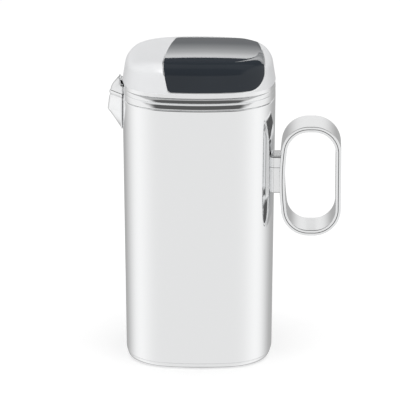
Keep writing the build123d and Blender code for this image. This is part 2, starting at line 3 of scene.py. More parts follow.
import bmesh
import bpy
import numpy as np
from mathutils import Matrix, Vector


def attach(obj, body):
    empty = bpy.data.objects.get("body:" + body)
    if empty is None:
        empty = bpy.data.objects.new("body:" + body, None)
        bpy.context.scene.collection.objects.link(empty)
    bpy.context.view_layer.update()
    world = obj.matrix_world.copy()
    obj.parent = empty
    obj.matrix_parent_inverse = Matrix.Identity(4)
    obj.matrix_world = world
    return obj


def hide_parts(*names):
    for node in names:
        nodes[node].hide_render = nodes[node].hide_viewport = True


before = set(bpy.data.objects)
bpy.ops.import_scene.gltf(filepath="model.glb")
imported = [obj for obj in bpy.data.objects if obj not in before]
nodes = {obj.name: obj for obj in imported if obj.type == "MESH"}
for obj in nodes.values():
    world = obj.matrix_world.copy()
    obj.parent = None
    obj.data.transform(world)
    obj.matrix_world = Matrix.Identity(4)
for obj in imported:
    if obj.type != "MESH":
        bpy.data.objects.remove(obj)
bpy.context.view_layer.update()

# Sizes below are in millimetres and become metres when a mesh is made.
MM = 0.001

# Plan of the pitcher at the seam
BODY_WIDTH = 120.0
SIDE_BOW = 130.0
CORNER = 40.0

# Body
SEAM = 209.3
DRAFT = math.tan(math.radians(0.65))
BASE_LINE = 4.75
SHELL_WALL = 0.9
SHELL_LIP = 4.2
SUPPORT = 2.5
WINDOW_SILL = 189.0
WINDOW_HEAD = 222.0
WINDOW_HALF_LOW = 5.23
WINDOW_HALF_HIGH = 16.5

# Lid
RING_LOW = 209.6
RING_WIDTH = 5.5
UPSTAND = 4.7
UPSTAND_TOP = 226.2
GROOVE = 4.6
DOME_BASE = 221.3
DOME_DEPTH = 0.96
DOME_WALL = 2.4
DOME_DRAFT = math.radians(9)
DOME_TOP = 245.7
DOME_SHOULDER = 12.0
CROWN = 1000.0

# Dark panel in the dome
PANEL_REAR = 41.0
PANEL_FOOT = 221.75
PANEL_PROUD = 0.06
PANEL_DEPTH = 0.25
LEFT_BOW = (527.8, -50.0, 555.0)
LEFT_LEAN = 4.2
RIGHT_SIDE = 53.6
RIGHT_DRAW = 9.6
TRIM_WIDTH = 1.0
TRIM_HALF = 0.4
TRIM_PROUD = 0.16

# Handle loop
LOOP_NEAR = 63.5
LOOP_FAR = 111.8
LOOP_LOW = 99.2
LOOP_HIGH = 187.1
LOOP_BOW = 200.0
LOOP_CORNER = 21.4
STRAP = 4.2
STRAP_DEPTH = 39.0
STRAP_EDGE = 0.4
STRAP_SUPPORT = 1.2
SEAM_GROOVE = 0.55
SEAM_HALF_TOP = 0.27
SEAM_HALF_FLOOR = 0.2

# Spout: the beak on the body and the flap's hinge
BEAK_TOP = 211.6
BEAK_FOOT = 181.5
BEAK_HALF_WIDTH = 15.0
BEAK_TOP_REACH = 8.8
TIP_HEIGHT = 197.0
TIP_REACH = 10.6
NOSE_RADIUS = 5.5
FLAP_LOW = 212.0
FLAP_REACH = 8.4
HINGE_X = -62.3
HINGE_Z = 222.0
BEAK_GAP = 0.2
BEAK_FOOT_HALF_WIDTH = 4.5
BEAK_FOOT_NOSE = 4.0
BEAK_SHEET = 1.2
FLAP_SHEET = 1.1
LUG_HALF = 4.5
KNUCKLE_RADIUS = 0.75
KNUCKLE_NEAR = 4.8
KNUCKLE_FAR = 6.1
PIN_RADIUS = 0.45
PIN_HALF = 6.4
SLOT_RADIUS = 1.5


# ---- shapes


def plan_lean():
    """Where the side arcs meet the corner arcs: the corner centre and the angle there."""
    reach = SIDE_BOW - BODY_WIDTH / 2
    centre = (math.sqrt(2 * (SIDE_BOW - CORNER) ** 2 - reach**2) - reach) / 2
    return reach, centre, math.atan2(centre, centre + reach)


def plan_points(inset, side_steps=28, corner_steps=44):
    """Points round the plan, parallel to the seam's outline and this far inside it."""
    reach, centre, lean = plan_lean()
    points = []
    for quarter in range(4):
        turn = quarter * math.pi / 2
        spin = np.array([[math.cos(turn), -math.sin(turn)], [math.sin(turn), math.cos(turn)]])
        for step in range(side_steps):
            angle = -lean + 2 * lean * step / side_steps
            bow = SIDE_BOW - inset
            points.append(spin @ (-reach + bow * math.cos(angle), bow * math.sin(angle)))
        for step in range(corner_steps):
            angle = lean + (math.pi / 2 - 2 * lean) * step / corner_steps
            corner = CORNER - inset
            points.append(spin @ (centre + corner * math.cos(angle), centre + corner * math.sin(angle)))
    return np.array(points)


def body_inset(height):
    """How far the drafted side stands in at a height."""
    return (SEAM - height) * DRAFT


def rounded(corners, steps=6):
    """A closed outline of straight runs whose corners (u, v, radius) are rounded."""
    outline = []
    count = len(corners)
    for index, (u, v, radius) in enumerate(corners):
        here = np.array([u, v])
        if radius <= 0:
            outline.append(here)
            continue
        before = np.array(corners[index - 1][:2]) - here
        after = np.array(corners[(index + 1) % count][:2]) - here
        before = before / np.linalg.norm(before)
        after = after / np.linalg.norm(after)
        half_turn = math.acos(np.clip(before @ after, -1, 1)) / 2
        run = radius / math.tan(half_turn)
        middle = (before + after) / np.linalg.norm(before + after)
        centre = here + middle * radius / math.sin(half_turn)
        start = here + before * run - centre
        end = here + after * run - centre
        first = math.atan2(start[1], start[0])
        sweep = (math.atan2(end[1], end[0]) - first + math.pi) % (2 * math.pi) - math.pi
        for step in range(steps + 1):
            angle = first + sweep * step / steps
            outline.append(centre + radius * np.array([math.cos(angle), math.sin(angle)]))
    return outline


def mesh_piece(name, points, faces, sharp=35):
    """A smooth-shaded mesh object from points in millimetres, creased where it turns sharply."""
    mesh = bpy.data.meshes.new(name)
    mesh.from_pydata([tuple(p) for p in np.asarray(points) * MM], [], faces)
    mesh.validate()
    shape = bmesh.new()
    shape.from_mesh(mesh)
    bmesh.ops.remove_doubles(shape, verts=shape.verts, dist=1e-7)
    bmesh.ops.recalc_face_normals(shape, faces=shape.faces)
    shape.to_mesh(mesh)
    shape.free()
    mesh.shade_smooth()
    mesh.set_sharp_from_angle(angle=math.radians(sharp))
    piece = bpy.data.objects.new(name, mesh)
    bpy.context.scene.collection.objects.link(piece)
    return piece


def ring_faces(rows, around, closed_rows=False, closed_round=True):
    """Quads between rows of points that each run once round."""
    faces = []
    last_row = rows if closed_rows else rows - 1
    last_step = around if closed_round else around - 1
    for row in range(last_row):
        for step in range(last_step):
            low, high = row * around, ((row + 1) % rows) * around
            following = (step + 1) % around
            faces.append((low + step, low + following, high + following, high + step))
    return faces


def plan_loft(name, section, sharp=35):
    """A closed wall: the section (inset, height) carried round the plan."""
    rows = []
    for inset, height in section:
        plan = plan_points(inset)
        rows.append(np.column_stack([plan, np.full(len(plan), height)]))
    around = len(rows[0])
    return mesh_piece(name, np.vstack(rows), ring_faces(len(rows), around, closed_rows=True), sharp)


def cut_away(piece, cutter):
    """Cuts one piece out of another and keeps the smooth shading."""
    modifier = piece.modifiers.new("cut", "BOOLEAN")
    modifier.operation = "DIFFERENCE"
    modifier.solver = "EXACT"
    modifier.object = cutter
    bpy.context.view_layer.update()
    graph = bpy.context.evaluated_depsgraph_get()
    result = bpy.data.meshes.new_from_object(piece.evaluated_get(graph))
    piece.modifiers.clear()
    old = piece.data
    piece.data = result
    piece.data.name = piece.name
    bpy.data.meshes.remove(old)
    bpy.data.objects.remove(cutter)
    piece.data.shade_smooth()
    piece.data.set_sharp_from_angle(angle=math.radians(35))
    return piece


# ---- the lid's pillow, as a distance to its surface


def plan_distance(x, y):
    """Distance outside the plan's outline, and how much the outline faces away from the centre."""
    reach, centre, lean = plan_lean()
    far, near = np.maximum(abs(x), abs(y)), np.minimum(abs(x), abs(y))
    on_side = np.arctan2(near, far + reach) <= lean
    side = np.hypot(far + reach, near)
    corner = np.maximum(np.hypot(far - centre, near - centre), 1e-9)
    lean_side = ((far + reach) * far + near * near) / side
    lean_corner = ((far - centre) * far + (near - centre) * near) / corner
    return np.where(on_side, side - SIDE_BOW, corner - CORNER), np.where(on_side, lean_side, lean_corner)


def dome_distance(p):
    """Distance outside the pillow: drafted sides and a crowned top, joined by a rolled shoulder."""
    x, y, z = p[..., 0], p[..., 1], p[..., 2]
    outline, facing = plan_distance(x, y / DOME_DEPTH)
    side = math.cos(DOME_DRAFT) * outline + math.sin(DOME_DRAFT) * (z - DOME_BASE)
    top = np.sqrt(x * x + y * y + (z - DOME_TOP + CROWN) ** 2) - CROWN
    cosine = math.sin(DOME_DRAFT) + math.cos(DOME_DRAFT) * facing / CROWN
    from_side, from_top = side + DOME_SHOULDER, top + DOME_SHOULDER
    square = from_side**2 + from_top**2 - 2 * cosine * from_side * from_top
    edge = np.sqrt(np.maximum(square, 0) / (1 - cosine**2)) - DOME_SHOULDER
    on_top = from_side - cosine * from_top <= 0
    on_side = from_top - cosine * from_side <= 0
    return np.where(on_top, top, np.where(on_side, side, edge))


def dome_hit(origin, direction, depth=0.0):
    """Where lines from inside the pillow leave it, or leave the form this far under it."""
    low = np.zeros(direction.shape[:-1])
    high = np.full(direction.shape[:-1], 120.0)
    for _ in range(46):
        middle = (low + high) / 2
        inside = dome_distance(origin + direction * middle[..., None]) < -depth
        low = np.where(inside, middle, low)
        high = np.where(inside, high, middle)
    return origin + direction * ((low + high) / 2)[..., None]


def dome_normal(p):
    """The pillow's outward direction at points on it."""
    step = 1e-3
    slope = [
        dome_distance(p + step * np.eye(3)[axis]) - dome_distance(p - step * np.eye(3)[axis])
        for axis in range(3)
    ]
    normal = np.stack(slope, axis=-1)
    return normal / np.linalg.norm(normal, axis=-1, keepdims=True)


def make_dome():
    """The lid's cover, outside and inside, closed at its lower rim."""
    plan = plan_points(0)
    spread = np.concatenate([
        np.linspace(0, 6, 5)[:-1], np.linspace(6, 42, 42)[:-1], np.linspace(42, 89.4, 20)
    ])
    layers = []
    for depth, tilts in ((0.0, spread), (DOME_WALL, spread[::-1])):
        for tilt in np.radians(tilts):
            flat = plan / np.linalg.norm(plan, axis=1, keepdims=True)
            direction = np.column_stack([flat * math.cos(tilt), np.full(len(flat), math.sin(tilt))])
            origin = np.array([0.0, 0.0, DOME_BASE])
            layers.append(dome_hit(origin, direction, depth))
    around = len(plan)
    count = len(spread)
    points = np.vstack(layers)
    outside = ring_faces(count, around)
    inside = [tuple(i + count * around for i in face) for face in ring_faces(count, around)]
    caps = [
        tuple(range((count - 1) * around, count * around)),
        tuple(range(count * around, (count + 1) * around)),
    ]
    last = (2 * count - 1) * around
    rim = [(s, (s + 1) % around, last + (s + 1) % around, last + s) for s in range(around)]
    return mesh_piece("lid_dome_cover", points, outside + inside + rim + caps)


# ---- the dark panel's outline on the pillow


def round_in(value, limit, radius):
    """How far an edge draws in as a value comes within a radius of its limit."""
    past = np.clip(value - (limit - radius), 0, radius)
    return radius - np.sqrt(radius**2 - past**2)


def panel_left(y, z, shrink):
    """The panel's left edge: seen from above a shallow bow, leaning in down the front."""
    centre_x, centre_y, radius = LEFT_BOW
    bow = centre_x - np.sqrt(radius**2 - (y - centre_y) ** 2)
    lean = LEFT_LEAN * np.clip((243 - z) / 22, 0, 1) ** 1.5
    corner = round_in(y, PANEL_REAR - shrink, 4.0) + round_in(-z, -PANEL_FOOT - shrink, 2.5)
    return bow + lean + corner + shrink


def panel_right(y, z, shrink):
    """The panel's right edge: it follows the lid's side and turns in at both ends."""
    bow = RIGHT_SIDE - RIGHT_DRAW * (np.clip(y + 80, 0, 140) / 125.5) ** 2.2
    corner = round_in(y, PANEL_REAR - shrink, 9.0) + round_in(-z, -PANEL_FOOT - shrink, 12.0)
    return bow - corner - shrink


def panel_point(x, share, shrink):
    """A point on the pillow at this x, from the panel's foot (share 0) over the top to its rear (share 1)."""
    x = np.asarray(x, float)
    share = np.broadcast_to(np.asarray(share, float), x.shape)
    foot, rear = PANEL_FOOT + shrink, PANEL_REAR - shrink
    upward = np.zeros(x.shape + (3,))
    upward[..., 2] = 1
    start = np.stack([x, np.full(x.shape, rear), np.full(x.shape, foot)], axis=-1)
    rear_top = dome_hit(start, upward)
    turn = share * np.arctan2(rear_top[..., 2] - foot, -rear)
    direction = np.stack([np.zeros(x.shape), -np.cos(turn), np.sin(turn)], axis=-1)
    origin = np.stack([x, np.zeros(x.shape), np.full(x.shape, foot)], axis=-1)
    return dome_hit(origin, direction)


def panel_edge(shares, side, shrink):
    """X of the panel's left or right edge at each share of the way over."""
    x = np.full(len(shares), -20.0 if side == "left" else 45.0)
    for _ in range(14):
        p = panel_point(x, shares, shrink)
        edge = panel_left if side == "left" else panel_right
        x = 0.5 * x + 0.5 * edge(p[:, 1], p[:, 2], shrink)
    return x


def panel_shares(count):
    """Shares that crowd towards the rounded ends."""
    even = np.linspace(0, 1, count)
    return even - np.sin(2 * math.pi * even) / (2 * math.pi) * 0.85


def make_panel():
    """The glossy dark inlay: a thin plate that follows the pillow."""
    shrink = TRIM_WIDTH + 0.05
    shares = panel_shares(150)
    left, right = panel_edge(shares, "left", shrink), panel_edge(shares, "right", shrink)
    across = np.linspace(0, 1, 90)
    x = left[:, None] + (right - left)[:, None] * across
    grid_shares = np.broadcast_to(shares[:, None], x.shape)
    top = panel_point(x, grid_shares, shrink)
    normal = dome_normal(top)
    rows, columns = x.shape
    points = np.vstack([
        (top + normal * PANEL_PROUD).reshape(-1, 3), (top - normal * PANEL_DEPTH).reshape(-1, 3)
    ])
    faces = ring_faces(rows, columns, closed_round=False)
    shift = rows * columns
    faces += [tuple(i + shift for i in face)[::-1] for face in faces]
    rim = list(range(columns))
    rim += [r * columns + columns - 1 for r in range(1, rows)]
    rim += [(rows - 1) * columns + c for c in range(columns - 2, -1, -1)]
    rim += [r * columns for r in range(rows - 2, 0, -1)]
    for index, here in enumerate(rim):
        following = rim[(index + 1) % len(rim)]
        faces.append((here, following, following + shift, here + shift))
    return mesh_piece("lid_panel_gloss", points, faces)


def panel_border(shrink):
    """The closed line round the panel, evenly spaced."""
    shares = panel_shares(220)
    left, right = panel_edge(shares, "left", shrink), panel_edge(shares, "right", shrink)
    foot = np.linspace(left[0], right[0], 90)
    rear = np.linspace(right[-1], left[-1], 90)
    line = np.vstack([
        panel_point(foot, np.zeros(90), shrink),
        panel_point(right, shares, shrink)[1:],
        panel_point(rear, np.ones(90), shrink)[1:],
        panel_point(left[::-1], shares[::-1], shrink)[1:-1],
    ])
    closed = np.vstack([line, line[:1]])
    length = np.concatenate([[0], np.cumsum(np.linalg.norm(np.diff(closed, axis=0), axis=1))])
    even = np.linspace(0, length[-1], 700, endpoint=False)
    return np.column_stack([np.interp(even, length, closed[:, axis]) for axis in range(3)])


def make_trim():
    """The fine bright border: a low half-round bead round the panel."""
    line = panel_border(TRIM_WIDTH / 2)
    normal = dome_normal(line)
    along = np.roll(line, -1, axis=0) - np.roll(line, 1, axis=0)
    along /= np.linalg.norm(along, axis=1, keepdims=True)
    aside = np.cross(normal, along)
    aside /= np.linalg.norm(aside, axis=1, keepdims=True)
    section = [(-TRIM_HALF, -0.3), (-TRIM_HALF, 0.02)]
    section += [
        (-TRIM_HALF * math.cos(a), 0.02 + TRIM_PROUD * math.sin(a))
        for a in np.linspace(0.25, math.pi - 0.25, 9)
    ]
    section += [(TRIM_HALF, 0.02), (TRIM_HALF, -0.3)]
    rows = [line + aside * u + normal * v for u, v in section]
    return mesh_piece("panel_trim_bead", np.vstack(rows), ring_faces(len(rows), len(line), closed_rows=True))


# ---- the lid's ring


def arc_run(inset, height, radius, first, last, steps=8):
    """Section points up a roll, whose face leans back from the first angle to the last."""
    turn = np.radians(np.linspace(first, last, steps))
    start = math.radians(first)
    return [
        (inset + radius * (math.cos(start) - math.cos(t)), height + radius * (math.sin(t) - math.sin(start)))
        for t in turn
    ]


def make_ring():
    """Bright moulding under the dome: two leaning rolls, deepest in front and behind."""
    lower = arc_run(0.15, RING_LOW + 0.2, 10.6, 17, 42)
    lower += arc_run(*lower[-1], 1.7, 42, 90)[1:]
    upper = arc_run(0.5, lower[-1][1] + 0.6, 5.0, 14, 48)
    upper += arc_run(*upper[-1], 2.6, 48, 90)[1:]
    rolls = [(0.35, RING_LOW), (0.15, RING_LOW + 0.12), *lower, (GROOVE, lower[-1][1] + 0.05)]
    rolls += [(GROOVE, upper[0][1] - 0.25), (0.9, upper[0][1] - 0.2), *upper]
    rolls.append((upper[-1][0] + 0.1, DOME_BASE - 0.1))
    inner = [
        (UPSTAND, DOME_BASE - 0.1), (UPSTAND, UPSTAND_TOP), (RING_WIDTH, UPSTAND_TOP), (RING_WIDTH, RING_LOW)
    ]
    edge, turned_in = plan_points(0), plan_points(1) - plan_points(0)
    depth = 0.08 + 0.92 * np.clip((abs(turned_in[:, 1]) - 0.25) / 0.6, 0, 1) ** 1.4
    rows = []
    for index, (inset, height) in enumerate(rolls + inner):
        reach = inset * depth if index < len(rolls) else np.full(len(edge), inset)
        rows.append(np.column_stack([edge + turned_in * reach[:, None], np.full(len(edge), height)]))
    faces = ring_faces(len(rows), len(edge), closed_rows=True)
    return mesh_piece("lid_ring_moulding", np.vstack(rows), faces, sharp=40)


def make_lug():
    """The middle knuckle of the flap's hinge, on the ring."""
    section = rounded([
        (-57.0, 217.6, 0.0),
        (-60.0, 217.8, 0.4),
        (-63.1, 220.9, 0.6),
        (-63.1, 222.1, 0.6),
        (-61.2, 222.3, 0.8),
        (-60.6, 220.8, 0.3),
        (-57.0, 220.2, 0.0),
    ])
    around = len(section)
    points = [(u, y, v) for y in (-LUG_HALF, 0.2 - LUG_HALF, LUG_HALF - 0.2, LUG_HALF) for u, v in section]
    faces = ring_faces(4, around)
    faces += [tuple(range(around)), tuple(range(3 * around, 4 * around))]
    return mesh_piece("flap_lug", points, faces)


# ---- spout


def beak_outline(half_width, nose_radius, reach, inset=0.0, cheek_steps=10, nose_steps=16):
    """The beak from above, from cheek to cheek: straight sides tangent to a round nose."""
    half = BODY_WIDTH / 2
    nose_x = -half - reach + nose_radius
    run = math.hypot(half + nose_x, half_width)
    turn = math.atan2(half_width, -half - nose_x) + math.acos(min(1, nose_radius / run))
    radius = nose_radius - inset
    touch = np.array([nose_x + radius * math.cos(turn), radius * math.sin(turn)])
    wall = np.array([-half - BEAK_GAP + half_width**2 / (2 * SIDE_BOW), half_width - inset])
    side = [wall + (touch - wall) * k / cheek_steps for k in range(cheek_steps)]
    nose = [
        (nose_x + radius * math.cos(a), radius * math.sin(a))
        for a in np.linspace(turn, 2 * math.pi - turn, nose_steps)
    ]
    other = [(x, -y) for x, y in reversed(side)]
    return np.array(side + nose + other)


def beak_reach(height):
    """How far the beak's front edge stands out: leaning out to the tip, then a hollow curve back."""
    if height >= TIP_HEIGHT:
        share = (height - TIP_HEIGHT) / (BEAK_TOP - TIP_HEIGHT)
        return TIP_REACH + (BEAK_TOP_REACH - TIP_REACH) * share
    share = (TIP_HEIGHT - height) / (TIP_HEIGHT - BEAK_FOOT)
    return TIP_REACH * (1 - share**0.92)


def beak_roll(height):
    """The rolled rim under the flap and the hollow below it, as a swelling of the beak."""
    below = BEAK_TOP - height
    rim = 0.35 * math.exp(-((below - 1.1) / 0.8) ** 2)
    hollow = -0.75 * math.exp(-((below - 3.3) / 1.3) ** 2)
    return rim + hollow


def thicken(piece, thickness):
    """Gives a sheet its wall, inwards."""
    solid = piece.modifiers.new("wall", "SOLIDIFY")
    solid.thickness = -thickness * MM
    solid.offset = -1
    return piece


def make_beak():
    """The open beak on the body, pressed from sheet, its rim rolled under the flap."""
    heights = np.concatenate([
        np.linspace(BEAK_FOOT, TIP_HEIGHT - 0.6, 26)[:-1],
        np.linspace(TIP_HEIGHT - 0.6, TIP_HEIGHT + 0.6, 7)[:-1],
        np.linspace(TIP_HEIGHT + 0.6, BEAK_TOP - 6, 8)[:-1],
        np.linspace(BEAK_TOP - 6, BEAK_TOP, 25),
    ])
    rows = []
    for height in heights:
        share = (height - BEAK_FOOT) / (BEAK_TOP - BEAK_FOOT)
        half_width = BEAK_FOOT_HALF_WIDTH + (BEAK_HALF_WIDTH - BEAK_FOOT_HALF_WIDTH) * share
        nose_radius = BEAK_FOOT_NOSE + (NOSE_RADIUS - BEAK_FOOT_NOSE) * share
        outline = beak_outline(half_width, nose_radius, beak_reach(height), -beak_roll(height))
        rows.append(np.column_stack([outline, np.full(len(outline), height)]))
    around = len(rows[0])
    faces = ring_faces(len(rows), around, closed_round=False)
    return thicken(mesh_piece("spout_beak", np.vstack(rows), faces, sharp=50), BEAK_SHEET)


def make_hood():
    """The flap: a skirt round the beak's mouth, a soft brow and a roof up to the hinge."""
    low = beak_outline(BEAK_HALF_WIDTH, NOSE_RADIUS, FLAP_REACH)
    brow = beak_outline(BEAK_HALF_WIDTH - 0.5, NOSE_RADIUS, FLAP_REACH - 0.7)
    count = len(low)
    rows = [[] for _ in range(17)]
    for index in range(count):
        across = 1 - 2 * index / (count - 1)
        crest_y = across * (BEAK_HALF_WIDTH - 0.6)
        crest = np.array([HINGE_X + 0.4 + 1.6 * across**2, crest_y, HINGE_Z + 0.1 - 3.4 * across**2])
        foot = np.array([*low[index], FLAP_LOW])
        top = np.array([*brow[index], min(FLAP_LOW + 3.4 + 3.0 * across**2, crest[2] - 0.4)])
        before = foot + (top - foot) * 0.55
        after = top + (crest - top) * 0.35
        line = [foot, foot + (before - foot) / 2]
        for k in range(9):
            t = k / 8
            line.append(before * (1 - t) ** 2 + top * 2 * t * (1 - t) + after * t**2)
        line += [after + (crest - after) * k / 6 for k in range(1, 7)]
        for row, point in zip(rows, line):
            row.append(point)
    points = np.vstack([np.array(row) for row in rows])
    hood = mesh_piece("spout_hood", points, ring_faces(len(rows), count, closed_round=False), sharp=50)
    return thicken(hood, FLAP_SHEET)


def barrel(name, radius, from_y, to_y):
    """A short round bar along the hinge's axis with softened ends."""
    inner = radius - 0.2
    section = [
        (0, from_y), (inner, from_y), (radius, from_y + 0.2), (radius, to_y - 0.2), (inner, to_y), (0, to_y)
    ]
    points = [
        (HINGE_X + r * math.cos(a), y, HINGE_Z + r * math.sin(a))
        for r, y in section for a in np.linspace(0, 2 * math.pi, 32, endpoint=False)
    ]
    return mesh_piece(name, points, ring_faces(len(section), 32))


def hinge_slot():
    """The room in the flap for the middle knuckle on the ring."""
    turn = np.linspace(math.pi / 2, 3 * math.pi / 2, 17)
    arc = [(SLOT_RADIUS * math.cos(a), SLOT_RADIUS * math.sin(a)) for a in turn]
    outline = [(6.0, SLOT_RADIUS), *arc, (6.0, -SLOT_RADIUS)]
    points = [(HINGE_X + u, y, HINGE_Z + v) for y in (-KNUCKLE_NEAR, KNUCKLE_NEAR) for u, v in outline]
    around = len(outline)
    faces = ring_faces(2, around) + [tuple(range(around)), tuple(range(around, 2 * around))]
    return mesh_piece("slot_cutter", points, faces)


# ---- body


def make_shell():
    """The polished outer wall, its foot rounded and its top turned in to a lip, open behind the beak."""
    section = rounded([
        (body_inset(BASE_LINE), BASE_LINE, 0.7),
        (body_inset(BASE_LINE + 2), BASE_LINE + 2, 0.0),
        (body_inset(SEAM - SUPPORT), SEAM - SUPPORT, 0.0),
        (0.0, SEAM, 1.3),
        (SHELL_LIP, SEAM, 0.3),
        (SHELL_LIP, SEAM - SHELL_WALL, 0.2),
        (SHELL_WALL, SEAM - SHELL_WALL, 0.5),
        (SHELL_WALL + body_inset(BASE_LINE), BASE_LINE, 0.1),
    ])
    shell = plan_loft("body_shell", section)
    outline = rounded([
        (-WINDOW_HALF_LOW, WINDOW_SILL, 3.0),
        (WINDOW_HALF_LOW, WINDOW_SILL, 3.0),
        (WINDOW_HALF_HIGH, WINDOW_HEAD, 0.0),
        (-WINDOW_HALF_HIGH, WINDOW_HEAD, 0.0),
    ])
    around = len(outline)
    points = [(x, u, v) for x in (-75.0, -40.0) for u, v in outline]
    faces = ring_faces(2, around) + [tuple(range(around)), tuple(range(around, 2 * around))]
    return cut_away(shell, mesh_piece("window_cutter", points, faces))


# ---- handle


def loop_path(inset, step=0.8):
    """Points (x, z) and outward directions round the handle's loop, parallel to its outer edge."""
    middle = (LOOP_LOW + LOOP_HIGH) / 2
    half = (LOOP_HIGH - LOOP_LOW) / 2
    bow_x = LOOP_NEAR + LOOP_BOW
    turn_x = bow_x - math.sqrt((LOOP_BOW - LOOP_CORNER) ** 2 - (half - LOOP_CORNER) ** 2)
    far_x = LOOP_FAR - LOOP_CORNER
    lean = math.atan2(half - LOOP_CORNER, bow_x - turn_x)
    points, outward = [], []

    def arc(cx, cz, radius, first, last):
        count = max(2, int(abs(last - first) * radius / step))
        for k in range(count):
            a = first + (last - first) * k / count
            points.append((cx + radius * math.cos(a), cz + radius * math.sin(a)))
            outward.append((math.cos(a), math.sin(a)))

    def line(a, b, direction):
        count = max(1, int(math.dist(a, b) / step))
        for k in range(count):
            points.append((a[0] + (b[0] - a[0]) * k / count, a[1] + (b[1] - a[1]) * k / count))
            outward.append(direction)

    corner = LOOP_CORNER - inset
    high, low = middle + half - LOOP_CORNER, middle - half + LOOP_CORNER
    arc(bow_x, middle, LOOP_BOW - inset, math.pi + lean, math.pi - lean)
    arc(turn_x, high, corner, math.pi - lean, math.pi / 2)
    line((turn_x, high + corner), (far_x, high + corner), (0, 1))
    arc(far_x, high, corner, math.pi / 2, 0)
    line((far_x + corner, high), (far_x + corner, low), (1, 0))
    arc(far_x, low, corner, 0, -math.pi / 2)
    line((far_x, low - corner), (turn_x, low - corner), (0, -1))
    arc(turn_x, low, corner, -math.pi / 2, -math.pi + lean)
    return np.array(points), np.array(outward)


def make_handle():
    """The flat strap bent to a loop, a fine groove in the middle of both rims."""
    points, outward = loop_path(STRAP / 2)
    half, depth = STRAP / 2, STRAP_DEPTH / 2
    near = depth - STRAP_SUPPORT
    section = rounded([
        (-half, -near, 0), (-half, -depth, STRAP_EDGE), (half, -depth, STRAP_EDGE), (half, -near, 0),
        (half, near, 0), (half, depth, STRAP_EDGE), (-half, depth, STRAP_EDGE), (-half, near, 0),
    ])
    floor = depth - SEAM_GROOVE
    groove = [
        (-SEAM_HALF_TOP, depth), (-SEAM_HALF_FLOOR, floor), (SEAM_HALF_FLOOR, floor), (SEAM_HALF_TOP, depth)
    ]
    turn = next(i for i, p in enumerate(section) if p[0] > 0 and p[1] < 0)
    section[turn:turn] = [(u, -v) for u, v in groove]
    turn = next(i for i, p in enumerate(section) if p[0] < 0 and p[1] > 0)
    section[turn:turn] = [(-u, v) for u, v in groove]
    rows = []
    for out, y in section:
        row = points + outward * out
        rows.append(np.column_stack([row[:, 0], np.full(len(row), y), row[:, 1]]))
    faces = ring_faces(len(rows), len(points), closed_rows=True)
    return mesh_piece("handle_strap", np.vstack(rows), faces, sharp=50)


def paint_seam_shadow(strap, material):
    """Painted shadow in the joint between the strap's two skins, in the middle of both rims: the groove's
    faces get a dark finish that stands in for the shade inside it.
    """
    strap.data.materials.append(material)
    top = STRAP_DEPTH / 2 * MM
    bottom = top - SEAM_GROOVE * MM
    for face in strap.data.polygons:
        reach = [abs(strap.data.vertices[i].co.y) for i in face.vertices]
        if abs(min(reach) - bottom) < 1e-6 and (max(reach) - bottom < 1e-6 or top - max(reach) < 1e-6):
            face.material_index = 1


# ---- finishes


def new_group(name, inputs, outputs):
    """A shader node group with named value inputs and outputs."""
    group = bpy.data.node_groups.new(name, "ShaderNodeTree")
    for label, kind, value in inputs:
        socket = group.interface.new_socket(label, in_out="INPUT", socket_type=kind)
        if value is not None:
            socket.default_value = value
    for label, kind in outputs:
        group.interface.new_socket(label, in_out="OUTPUT", socket_type=kind)
    entry = group.nodes.new("NodeGroupInput")
    leave = group.nodes.new("NodeGroupOutput")
    return group, entry, leave


def math_node(tree, operation, first, second=None, clamp=False):
    """A math node fed by sockets or numbers."""
    node = tree.nodes.new("ShaderNodeMath")
    node.operation = operation
    node.use_clamp = clamp
    for index, value in enumerate((first, second)):
        if value is None:
            continue
        if isinstance(value, (int, float)):
            node.inputs[index].default_value = value
        else:
            tree.links.new(value, node.inputs[index])
    return node.outputs[0]


def make_polish_group():
    """Hand polish: clouded roughness, fine crossing scratches and their shallow height."""
    group, entry, leave = new_group(
        "hand_polish",
        [("Roughness", "NodeSocketFloat", 0.06), ("Cloud", "NodeSocketFloat", 0.02),
         ("Scratches", "NodeSocketFloat", 0.03), ("Scale", "NodeSocketFloat", 1.0)],
        [("Roughness", "NodeSocketFloat"), ("Height", "NodeSocketFloat")],
    )
    links = group.links
    place = group.nodes.new("ShaderNodeTexCoord")
    cloud = group.nodes.new("ShaderNodeTexNoise")
    links.new(place.outputs["Object"], cloud.inputs["Vector"])
    links.new(math_node(group, "MULTIPLY", entry.outputs["Scale"], 22.0), cloud.inputs["Scale"])
    cloud.inputs["Detail"].default_value = 3.0
    marks = None
    for turn, stretch in ((0.35, (900, 30, 60)), (-0.6, (40, 700, 35)), (1.2, (60, 25, 800))):
        mapping = group.nodes.new("ShaderNodeMapping")
        mapping.inputs["Rotation"].default_value = (turn, turn * 0.7, turn * 1.3)
        mapping.inputs["Scale"].default_value = stretch
        links.new(place.outputs["Object"], mapping.inputs["Vector"])
        noise = group.nodes.new("ShaderNodeTexNoise")
        noise.inputs["Scale"].default_value = 1.0
        noise.inputs["Detail"].default_value = 2.0
        links.new(mapping.outputs["Vector"], noise.inputs["Vector"])
        line = math_node(group, "SUBTRACT", noise.outputs["Fac"], 0.62, clamp=True)
        line = math_node(group, "MULTIPLY", line, 6.0, clamp=True)
        marks = line if marks is None else math_node(group, "MAXIMUM", marks, line)
    clouded = math_node(group, "MULTIPLY", cloud.outputs["Fac"], entry.outputs["Cloud"])
    scratched = math_node(group, "MULTIPLY", marks, entry.outputs["Scratches"])
    total = math_node(group, "ADD", entry.outputs["Roughness"], clouded)
    total = math_node(group, "ADD", total, scratched, clamp=True)
    links.new(total, leave.inputs["Roughness"])
    links.new(math_node(group, "MULTIPLY", marks, -1.0), leave.inputs["Height"])
    return group


